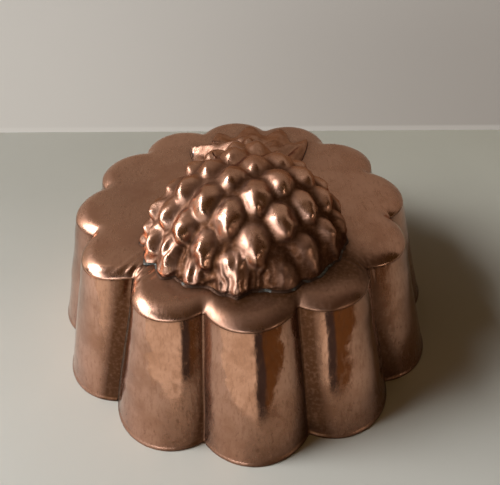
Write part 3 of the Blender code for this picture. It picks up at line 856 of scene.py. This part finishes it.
def make_plate(foot, surfaces):
    """The plate with its rounded edge, shoulder and flange, and the hole under the relief."""
    fan = np.linspace(EDGE_START, math.pi / 2.0, EDGE_ROWS)
    flange_end = SHOULDER - FLANGE_DEPTH
    flange_out = SHEET + JOINT_GAP
    flange_in = flange_out + SHEET
    outer_section = [(flange_out, flange_end), (flange_out, SHOULDER), (JOINT_LINE, SHOULDER)]
    outer_section += rounded_edge(0.0, fan)
    inner_section = [(flange_in, flange_end), (flange_in, SHOULDER - SHEET), (flange_in, SHOULDER)]
    inner_section += rounded_edge(SHEET, fan)
    edge = flute_ring(PLATE_HEIGHT, EDGE_WIDTH)
    outer = np.concatenate([sweep(flute_ring, outer_section), flat_rows(edge, PLATE_HEIGHT)])
    inner = np.concatenate([sweep(flute_ring, inner_section), flat_rows(edge, PLATE_HEIGHT - SHEET)])
    from_foot = distance_to(foot, outer)
    small_waves = SMALL_WAVE_SHARE * wander(outer, SMALL_WAVE_LENGTH, seed=5.0)
    waves = wander(outer, PLATE_WAVE_LENGTH, seed=4.0) + small_waves
    lift = PLATE_WAVE_DEPTH * (waves - PLATE_SAG) * smooth_step(from_foot, 0.0005, 0.004)
    folds = creases(outer) * smooth_step(np.hypot(outer[..., 0], outer[..., 1]), 0.043, 0.050)
    push = smooth_step(outer[..., 2], SHOULDER, PLATE_HEIGHT - WAVES_BELOW_TOP) * (lift + folds)
    for skin in (outer, inner):
        skin[..., 2] += push
    dirt = plate_dirt(outer, from_foot)
    plate = add_shell("rounded_plate", pinched(outer), pinched(inner), True, surfaces,
                      dirt=dirt, pits=np.full(dirt.shape, PLATE_PITS))
    as_node(plate, "top_plate")


def relief_grid():
    """A square grid bent onto a disc: distances from its middle, and angles clockwise from the crown."""
    side = np.linspace(-1.0, 1.0, RELIEF_COLUMNS + 1)
    front = np.linspace(-1.0, 0.0, RELIEF_FRONT_ROWS + 1)
    back = np.linspace(0.0, 1.0, RELIEF_BACK_ROWS + 1)[1:]
    u, v = np.meshgrid(side, np.concatenate([front, back]))
    across = u * np.sqrt(1.0 - v ** 2 / 2.0)
    along = v * np.sqrt(1.0 - u ** 2 / 2.0)
    return np.hypot(across, along), np.arctan2(across, along)


def row_place(y, height):
    """Place along the fruit's skin, counted in rows of eyes from the first row, near the front foot."""
    forward = np.clip(-y / FRUIT_FRONT_LENGTH, 0.0, 1.0)
    tilt = (np.arctan2(forward, height / FRUIT_HEIGHT) + np.arcsin(forward)) / 2.0
    return (FIRST_ROW_REACH - np.where(y > 0.0, -y, tilt * FRUIT_FRONT_LENGTH)) / EYE_ROW


def one_eye(across, along, column, row, low):
    """Rise of one eye, from 0 to 1: a keeled knob, round at its back, that climbs to a narrow nose.

    Low is one at the foot, where the eyes turn into folded petals.
    """
    growth, shift_across, shift_along, extra_rise, extra_fold = (
        share * scattered(column, row, seed) for seed, share in enumerate(EYE_SCATTER, start=1))
    size = 1.0 + growth
    lengthways = (along - row + shift_along) / size
    lean = EYE_LEAN - EYE_FAN * np.clip(column, -0.3, 1.2)
    sideways = (across - column + shift_across - lean * lengthways) / size
    climb = EYE_BACK_RISE + (1.0 - EYE_BACK_RISE) * smooth_step(lengthways, 0.75, -0.35)
    profile = smooth_step(lengthways, 1.00, 0.45) * climb * smooth_step(lengthways, -0.96, -0.50)
    past_arch = np.maximum((lengthways - EYE_ARCH_START) / (1.0 - EYE_ARCH_START), 0.0)
    arch = np.sqrt(np.clip(1.0 - past_arch ** 2, 0.02, 1.0))
    width = EYE_HALF_WIDTH * arch * (1.0 - EYE_NARROWING * smooth_step(lengthways, 0.10, -0.90))
    ridge_shift = PETAL_RIDGE_SHIFT * low
    offset = sideways - ridge_shift
    flank = width + ridge_shift * np.where(offset < 0.0, 1.0, PETAL_RIGHT_FLANK)
    share = np.clip(np.abs(offset) / flank, 0.0, 1.0)
    fullness = EYE_FULLNESS + NOSE_FULLNESS * smooth_step(lengthways, 0.2, -0.7)
    bell = (0.5 + 0.5 * np.cos(math.pi * share)) ** fullness
    knob = bell + PETAL_SHARPNESS * low * (1.0 - share - bell)
    fold = PETAL_FOLD_DEPTH * low * (1.0 + extra_fold)
    knob = knob * (1.0 - fold * falloff(offset + PETAL_FOLD_PLACE * width, PETAL_FOLD_WIDTH * width))
    return profile * knob * (1.0 + extra_rise)


def eyes(x, y, height, low):
    """Rise of the knobs, from 0 to 1, and of the diamonds that they stand on, at places on the fruit."""
    bend = np.arcsin(np.clip(x / FRUIT_HALF_WIDTH, -1.0, 1.0))
    across = (bend * FRUIT_HALF_WIDTH - EYE_SHIFT) / EYE_COLUMN
    across = across / (1.0 + RIGHT_STRETCH * (across > 0.0))
    along = row_place(y, height)
    even = (np.floor(across) + 0.5, 2.0 * np.round(along / 2.0))
    odd = (np.round(across), 2.0 * np.floor(along / 2.0) + 1.0)
    far = [np.abs(across - column) * 2.0 + np.abs(along - row) for column, row in (even, odd)]
    knobs = [one_eye(across, along, column, row, low) for column, row in (even, odd)]
    return np.maximum(*knobs), smooth_step(1.0 - np.minimum(*far), 0.0, 1.0)


def side_leaf(x, y, root_x, root_y, tip_x, tip_y, root_height, tip_height):
    """Height of one leaf like a low roof: a ridge that falls from root to tip, and two slopes."""
    length = math.hypot(tip_x - root_x, tip_y - root_y)
    ahead_x = (tip_x - root_x) / length
    ahead_y = (tip_y - root_y) / length
    along = ((x - root_x) * ahead_x + (y - root_y) * ahead_y) / length
    forward = ((x - root_x) * ahead_y - (y - root_y) * ahead_x) * (1.0 if tip_x > root_x else -1.0)
    ridge = root_height + (tip_height - root_height) * np.clip(along, -0.5, 1.2)
    narrowing = 1.0 + LEAF_NARROWING * np.clip(along, 0.0, 1.0) ** 2
    fall = np.where(forward > 0.0, LEAF_FRONT_SLOPE, -LEAF_BACK_SLOPE) * forward * narrowing
    rounded = np.sqrt(fall ** 2 + LEAF_RIDGE_ROUND ** 2) - LEAF_RIDGE_ROUND
    ends = smooth_step(along, 1.12, 0.92) * smooth_step(along, -0.6, -0.2)
    return np.maximum(ridge - rounded, 0.0) * ends


def leaf_fan(angle, distance, foot):
    """Height of the flat fan of leaves, with a groove and a short leaf between each two."""
    root = LEAF_ROOT_SHARE * fruit_reach(angle)
    along = np.clip((distance - root) / (foot - root), 0.0, 1.0)
    top = LEAF_ROOT_HEIGHT + (LEAF_EDGE_HEIGHT - LEAF_ROOT_HEIGHT) * along
    between = 1.0 - leaf_wave(angle)
    groove = GROOVE_DEPTH * between ** GROOVE_POWER * smooth_step(along, 0.10, 0.60)
    midrib = MIDRIB_RISE * np.exp(-between ** 2 / MIDRIB_SPREAD) * smooth_step(along, 0.3, 0.6)
    short_leaf = between * np.clip(1.0 - np.abs(along - SHORT_LEAF_PLACE) / SHORT_LEAF_LENGTH, 0.0, 1.0)
    return (top * (1.0 - groove + midrib) + SHORT_LEAF_RISE * short_leaf) * crown_share(angle)


def crown_height(angle, distance, foot):
    """Height of the crown: the fan of leaves, its raised side leaves and its bumps."""
    x = distance * np.sin(angle)
    y = distance * np.cos(angle)
    raised = [side_leaf(x, y, *leaf) for leaf in SIDE_LEAVES]
    bumps = 0.0
    for middle_x, middle_y, size in CROWN_BUMPS:
        away = (x - middle_x) ** 2 + (y - middle_y) ** 2
        bumps = bumps + np.exp(-away / size ** 2 * CROWN_BUMP_STEEPNESS)
    inside = smooth_step(foot - distance, 0.0, CROWN_RIM)
    leaves = np.maximum(leaf_fan(angle, distance, foot), np.max(raised, axis=0) * inside)
    return leaves + CROWN_BUMP_RISE * np.minimum(bumps, 1.15) * inside


def eye_strength(plan, dome, crown):
    """Share of their full rise that the eyes have, from place to place."""
    x = plan[..., 0]
    y = plan[..., 1]
    foot_share = (1.0 - crown) * (1.0 - FOOT_LOSS * smooth_step(x, 0.012, 0.028))
    strength = foot_share + (1.0 - foot_share) * smooth_step(dome, 0.0, EYE_FULL_HEIGHT)
    crown_start = smooth_step(y, 0.029, 0.036) * smooth_step(np.abs(x), 0.006, 0.010)
    left_back = smooth_step(-x, 0.016, 0.028) * smooth_step(y, -0.012, 0.004)
    return strength * (1.0 - CROWN_START_LOSS * crown_start) * (1.0 - LEFT_BACK_LOSS * left_back)


def hammering(base):
    """Small wrinkles and tool marks, crispest on the petals at the front and left of the foot."""
    x, y, z = np.moveaxis(base, -1, 0)
    soft = sum(depth * wander(base, length, seed) for length, depth, seed in WRINKLES)
    sharp = TOOL_MARK_LEVEL - np.abs(wander(base * np.array((1.0, 1.0, 0.40)), TOOL_MARK_LENGTH, seed=8.0))
    marks = TOOL_MARK_DEPTH * sharp * smooth_step(x, 0.022, -0.008) * smooth_step(z, 0.015, 0.007)
    return (soft + marks * smooth_step(y, 0.012, -0.004)) * smooth_step(z, 0.0, SMOOTH_FOOT)


def skin_normals(plan, dome, out, crown):
    """Directions in which the eyes rise: square to the fruit, and upwards on the crown."""
    length = np.where(plan[..., 1] > 0.0, FRUIT_BACK_LENGTH, FRUIT_FRONT_LENGTH)
    normal = unit(np.stack([plan[..., 0] / FRUIT_HALF_WIDTH ** 2, plan[..., 1] / length ** 2,
                            np.maximum(dome, 1e-4) / FRUIT_HEIGHT ** 2], axis=-1))
    on_crown = np.where(out[..., None] < 1.0, normal, np.array([0.0, 0.0, 1.0]))
    return unit(normal * (1.0 - crown)[..., None] + on_crown * crown[..., None])


def relief_skins():
    """Points of the relief's two faces round the fruit's centre, the knobs' rise and the share of crown."""
    share, angle = relief_grid()
    slope = share * math.pi / 2.0
    crown = crown_share(angle)
    foot = foot_reach(angle)
    distance = foot * (np.sin(slope) * (1.0 - crown) + share * crown)
    plan = np.stack([distance * np.sin(angle), distance * np.cos(angle)], axis=-1)
    out = distance / fruit_reach(angle)
    dome = FRUIT_HEIGHT * (1.0 - np.clip(out, 0.0, 1.0) ** 2) ** dome_power(angle)
    height = (dome ** 4 + crown_height(angle, distance, foot) ** 4) ** 0.25
    hold = math.sqrt(1.0 - (EYE_HOLD_HEIGHT / FRUIT_HEIGHT) ** 2)
    held = plan * np.minimum(1.0, hold / np.maximum(out, hold))[..., None]
    low = 1.0 - smooth_step(dome, 0.002, 0.011)
    knob, diamond = eyes(held[..., 0], held[..., 1], np.maximum(dome, EYE_HOLD_HEIGHT), low)
    strength = eye_strength(plan, dome, crown)
    base = np.concatenate([plan, height[..., None]], axis=-1)
    rise = strength * (EYE_RISE * knob + EYE_DIAMOND_RISE * diamond) + hammering(base)
    outer = base + skin_normals(plan, dome, out, crown) * rise[..., None]
    down = np.maximum(np.cos(slope), CROWN_UNDERSIDE * crown)
    border = np.zeros(share.shape, dtype=bool)
    border[[0, -1]] = True
    border[:, [0, -1]] = True
    outer[border, 2] = 0.0
    down[border] = 0.0
    away = np.stack([np.sin(angle), np.cos(angle)], axis=-1) * np.sin(slope)[..., None]
    inner = outer - SHEET * np.concatenate([away, down[..., None]], axis=-1)
    return outer, inner, knob * strength, crown


def lifted(points):
    """The relief's points set on the plate."""
    plan = on_plate(points[..., 0], points[..., 1])
    return np.concatenate([plan, points[..., 2:] + RELIEF_BASE], axis=-1)


def relief_dirt(outer, knob, crown):
    """Patina and painted shade between the eyes, darker at the foot, and painted shade on the fruit's low
    right side.
    """
    x, y, z = np.moveaxis(outer, -1, 0)
    # Patina and painted shade between the eyes, with more painted shade towards the back right.
    hollow = (1.0 - smooth_step(knob, 0.05, 0.64)) * (1.0 - CROWN_HOLLOW_LOSS * crown)
    shade = HOLLOW_PATINA_AND_PAINTED_SHADE + HOLLOW_BACK_PAINTED_SHADE * smooth_step(x * 0.6 - y, -0.020, 0.016)
    # Darker at the foot of the fruit.
    foot = (1.0 - crown) * np.exp(-z / RELIEF_FOOT_REACH)
    # Painted shade on the fruit's low right side.
    low_right = smooth_step(x, -0.004, 0.014) * smooth_step(z, 0.019, 0.006)
    low_right = low_right * smooth_step(y, 0.014, -0.010)
    return np.clip(shade * hollow + RELIEF_FOOT_DARKENING * foot + LOW_RIGHT_PAINTED_SHADE * low_right, 0.0, 1.0)


def make_relief(skins, surfaces):
    """The hollow pineapple with its crown."""
    outer, inner, knob, crown = skins
    dirt = relief_dirt(outer, knob, crown)
    relief = add_shell("embossed_pineapple", lifted(outer), lifted(inner), False, surfaces,
                       dirt=dirt, pits=np.full(dirt.shape, RELIEF_PITS))
    as_node(relief, "pineapple_relief")


def foot_line(skins):
    """Plan line of the relief's foot, anticlockwise, and unit vectors square to its smooth outline."""
    rows, columns = skins[0].shape[:2]
    edge = border_edges(rows, columns, False)[:, 0]
    foot = lifted(skins[0]).reshape(-1, 3)[edge][:, :2]
    angle = relief_grid()[1].ravel()[edge]
    smooth = outline_on_plate(foot_reach(angle), angle)
    along = np.roll(smooth, -1, axis=0) - np.roll(smooth, 1, axis=0)
    return foot, unit(np.stack([along[:, 1], -along[:, 0]], axis=-1))


def make_foot_bead(foot, away, surface):
    """Solder that wets the plate and the foot of the relief, wider and narrower along its length."""
    spot = at_height(foot, PLATE_HEIGHT)
    share = FOOT_BEAD_BACK_SHARE + (1.0 - FOOT_BEAD_BACK_SHARE) * smooth_step(foot[:, 1], 0.005, -0.015)
    width = (FOOT_BEAD_WIDTH[0] + FOOT_BEAD_WIDTH[1] * wander(spot, 0.006, seed=9.0)) * share
    height = (FOOT_BEAD_HEIGHT[0] + FOOT_BEAD_HEIGHT[1] * wander(spot, 0.005, seed=10.0)) * share
    rings = [at_height(foot - away * FOOT_BEAD_UNDERCUT, PLATE_HEIGHT - FOOT_BEAD_SINK)]
    for turn in np.linspace(0.0, math.pi / 2.0, BEAD_POINTS):
        bulge = 1.0 - BEAD_HOLLOW * math.sin(2.0 * turn)
        side = foot + away * (width * math.cos(turn) * bulge)[:, None]
        rings.append(at_height(side, PLATE_HEIGHT + FOOT_BEAD_LIFT + height * math.sin(turn) * bulge))
    bead = add_bead("foot_bead", np.array(rings), surface)
    as_node(bead, "foot_solder")


def make_joint_bead(surface):
    """The ring of solder inside, under the plate's flange."""
    flange_end = SHOULDER - FLANGE_DEPTH
    top = flange_end - BEAD_CLEARANCE
    nearest = SHEET + BEAD_CLEARANCE
    rings = [at_height(flute_ring(flange_end, nearest), top)]
    for turn in np.linspace(math.pi / 2.0, 0.0, BEAD_POINTS):
        ring = flute_ring(flange_end, nearest + JOINT_BEAD_WIDTH * math.cos(turn))
        rings.append(at_height(ring, top - JOINT_BEAD_HEIGHT * math.sin(turn)))
    rings = np.array(rings)
    hangs = rings[..., 2] < top - JOINT_BEAD_HELD
    rings[..., 2] -= JOINT_BEAD_SAG * (1.0 + wander(rings, 0.006, seed=11.0)) * hangs
    bead = add_bead("joint_bead", pinched(rings), surface)
    as_node(bead, "plate_joint_solder")


def make_seam_bead(surface):
    """The strip of braze in the seam's valley, a little proud of the sheet and uneven down its length."""
    along = np.array(outward_of(SEAM_VALLEY))
    across = np.array([-along[1], along[0]])
    turns = np.linspace(0.0, 2.0 * math.pi, BRAZE_POINTS + 1)[:-1]
    rings = []
    for z in np.linspace(JOINT_GAP, SHOULDER - JOINT_GAP, BRAZE_ROWS):
        distance = math.hypot(*flute_shape(z)[2]) - VALLEY_FILLET
        half = SEAM_WIDTH / 2.0 + BRAZE_WANDER * wander(np.array([[0.0, 0.0, z]]), 0.003, seed=12.0)[0]
        depth = distance - SHEET / 2.0 + (SHEET / 2.0 + BRAZE_PROUD) * np.sin(turns)
        plan = along * depth[:, None] + across * (half * np.cos(turns))[:, None]
        rings.append(at_height(plan, z))
    count = BRAZE_ROWS * BRAZE_POINTS
    faces = grid_faces(BRAZE_ROWS, BRAZE_POINTS, True)[:, ::-1].tolist()
    faces += [list(range(BRAZE_POINTS)), list(range(count - 1, count - BRAZE_POINTS - 1, -1))]
    strip = add_mesh("seam_strip", pinched(np.array(rings)), faces, [surface], np.zeros(len(faces)))
    as_node(strip, "side_seam_braze")


def add_plane(name, corners, surface):
    mesh = bpy.data.meshes.new(name)
    mesh.from_pydata(corners, [], [tuple(range(len(corners)))])
    mesh.materials.append(surface)
    plane = add_object(name, mesh)
    return plane


def upright(left, right, foot, top):
    """Corners of an upright plane between two plan points."""
    return [(*left, foot), (*right, foot), (*right, top), (*left, top)]


def paint_pale(tree, shader, colour, roughness):
    """Gives a material softly clouded paint of this colour."""
    clouds = stretched_noise(tree, (9.0,) * 3, detail=4.0)
    shade = mixed(ranged(clouds, 0.3, 0.7), (1.0, 1.0, 1.0), (0.95, 0.95, 0.95))
    inputs = {"Factor": 1.0, 6: colour, 7: shade}
    base = node(tree, "ShaderNodeMix", inputs, data_type="RGBA", blend_type="MULTIPLY").outputs[2]
    feed(shader, {"Base Color": base, "Roughness": roughness, "Specular IOR Level": 0.20})


def pale_worktop():
    """Warm paint. Painted shade darkens it far from the camera, and painted light lightens its far right.

    The copper looks past the worktop's front edge, which lies just out of the picture.
    """
    made, tree, shader = material("pale_worktop")
    axes = own_axes(tree)
    # Painted shade darkens the far part, and painted light makes it lighter at the right, where the mould's
    # shadow falls.
    far = mixed(ranged(axes["X"], -0.20, 0.25), (0.46, 0.398, 0.300), (0.67, 0.585, 0.420))
    colour = mixed(ranged(axes["Y"], -0.16, 0.15), (0.78, 0.69, 0.545), far)
    paint_pale(tree, shader, colour, 0.50)
    ahead = node(tree, "ShaderNodeMath", {0: axes["Y"], 1: WORKTOP_EDGE}, operation="LESS_THAN")
    mirrored = node(tree, "ShaderNodeLightPath").outputs["Is Glossy Ray"]
    clear_where(tree, times(ahead.outputs["Value"], mirrored))
    return made


def pale_wall():
    """A wall that glows for the camera and for what mirrors it, and that is clear from behind.

    The glow is dimmer to the right, evens out higher up, and has a paler line along its foot. Far to the
    left, towards the window, it is brighter in what mirrors it.
    """
    made, tree, shader = material("pale_wall")
    paint_pale(tree, shader, (0.12, 0.10, 0.075), 0.55)
    axes = own_axes(tree)
    rays = node(tree, "ShaderNodeLightPath").outputs
    glow = mixed(ranged(axes["X"], -0.18, 0.22), (0.46, 0.43, 0.39), (0.26, 0.233, 0.21))
    glow = mixed(ranged(axes["Z"], 0.05, 0.22), glow, (0.40, 0.37, 0.335))
    foot = times(ranged(axes["Z"], 0.0045, 0.0025), 0.22)
    glow = mixed(foot, glow, (0.62, 0.59, 0.54))
    leftward = times(ranged(axes["X"], -0.28, -0.72), rays["Is Glossy Ray"])
    glow = mixed(leftward, glow, (1.50, 1.43, 1.33))
    seen = plus(rays["Is Camera Ray"], rays["Is Glossy Ray"])
    feed(shader, {"Emission Color": glow, "Emission Strength": seen})
    clear_where(tree, node(tree, "ShaderNodeNewGeometry").outputs["Backfacing"])
    return made


def shining(name, colour, strength):
    made, tree, shader = material(name)
    shine(tree, colour, strength)
    return made


def ceiling_glow():
    """A ceiling, pale near the wall, and dim further away and to the right."""
    made, tree, shader = material("ceiling_glow")
    axes = own_axes(tree)
    away = ranged(axes["Y"], CEILING_NEAR, CEILING_DIM)
    colour = mixed(away, (0.40, 0.36, 0.32), (0.16, 0.115, 0.06))
    colour = mixed(ranged(axes["X"], -0.10, 1.10), colour, (0.075, 0.042, 0.016))
    shine(tree, colour, 1.0)
    return made


def add_glow(name, corners, surface):
    """A bright thing in the room that only shows as a reflection."""
    glow = add_plane(name, corners, surface)
    glow.visible_camera = False
    glow.visible_diffuse = False
    glow.visible_shadow = False


def make_stage():
    """A pale worktop and a pale wall behind it, and what the copper mirrors of the room around."""
    far_left, far_right = ((x, WALL_BASE_Y + x * WALL_BASE_SLOPE) for x in (-STAGE_REACH, STAGE_REACH))
    near_left, near_right = ((x, -STAGE_REACH) for x in (-STAGE_REACH, STAGE_REACH))
    corners = [(*corner, 0.0) for corner in (near_left, near_right, far_right, far_left)]
    add_plane("worktop", corners, pale_worktop())
    add_plane("backdrop", upright(far_left, far_right, 0.0, WALL_HEIGHT), pale_wall())
    add_glow("ceiling", [(STAGE_REACH, CEILING_NEAR, WALL_HEIGHT), (-STAGE_REACH, CEILING_NEAR, WALL_HEIGHT),
                         (-STAGE_REACH, CEILING_FAR, WALL_HEIGHT), (STAGE_REACH, CEILING_FAR, WALL_HEIGHT)],
             ceiling_glow())
    for name, left, right, foot, top, colour, strength in MIRRORED_WINDOWS:
        add_glow(name, upright(left, right, foot, top), shining(name, colour, strength))
    for name, left, right, colour, strength in ROOM_BANDS:
        corners = upright((left, -ROOM_DISTANCE), (right, -ROOM_DISTANCE), ROOM_BANDS_FOOT, ROOM_BANDS_TOP)
        add_glow(name, corners, shining(name, colour, strength))


def make_lights():
    """A lamp for the window on the left, and a dim room, whose far wall the camera sees past the stage."""
    lamp = bpy.data.lights.new("window", "AREA")
    lamp.shape = "RECTANGLE"
    lamp.size = WINDOW_WIDTH
    lamp.size_y = WINDOW_HEIGHT
    lamp.energy = WINDOW_POWER
    lamp.color = WINDOW_COLOUR
    holder = add_object("window", lamp)
    holder.location = WINDOW_PLACE
    aim = Vector(WINDOW_TARGET) - Vector(WINDOW_PLACE)
    holder.rotation_euler = aim.to_track_quat("-Z", "Y").to_euler()
    holder.visible_camera = False
    world = bpy.data.worlds.new("room")
    bpy.context.scene.world = world
    world.use_nodes = True
    tree = world.node_tree
    seen = node(tree, "ShaderNodeLightPath").outputs["Is Camera Ray"]
    room = mixed(seen, ROOM_COLOUR, FAR_WALL_COLOUR)
    feed(tree.nodes["Background"], {"Color": room})


def make_camera():
    """The photograph's view, fitted to the flutes at rim and plate."""
    lens = bpy.data.cameras.new("camera")
    lens.lens = CAMERA_LENS
    lens.sensor_width = CAMERA_SENSOR
    lens.sensor_fit = "HORIZONTAL"
    lens.shift_x = CAMERA_SHIFT
    camera = add_object("camera", lens)
    axes = [Vector(axis).normalized() for axis in (CAMERA_RIGHT, CAMERA_UP, CAMERA_BACK)]
    camera.matrix_world = Matrix.Translation(CAMERA_PLACE) @ Matrix(axes).transposed().to_4x4()
    bpy.context.scene.camera = camera


tin = tin_lining()
relief = relief_skins()
foot, away = foot_line(relief)
make_wall([wall_copper(), tin])
make_plate(foot, [plate_copper(), tin])
make_relief(relief, [relief_copper(), tin])
make_foot_bead(foot, away, solder("foot_solder", (0.115, 0.105, 0.085), 0.80))
make_joint_bead(solder("joint_solder", (0.40, 0.42, 0.40), 0.0))
make_seam_bead(braze())
make_stage()
make_lights()
make_camera()
bpy.context.scene.view_settings.view_transform = "Standard"
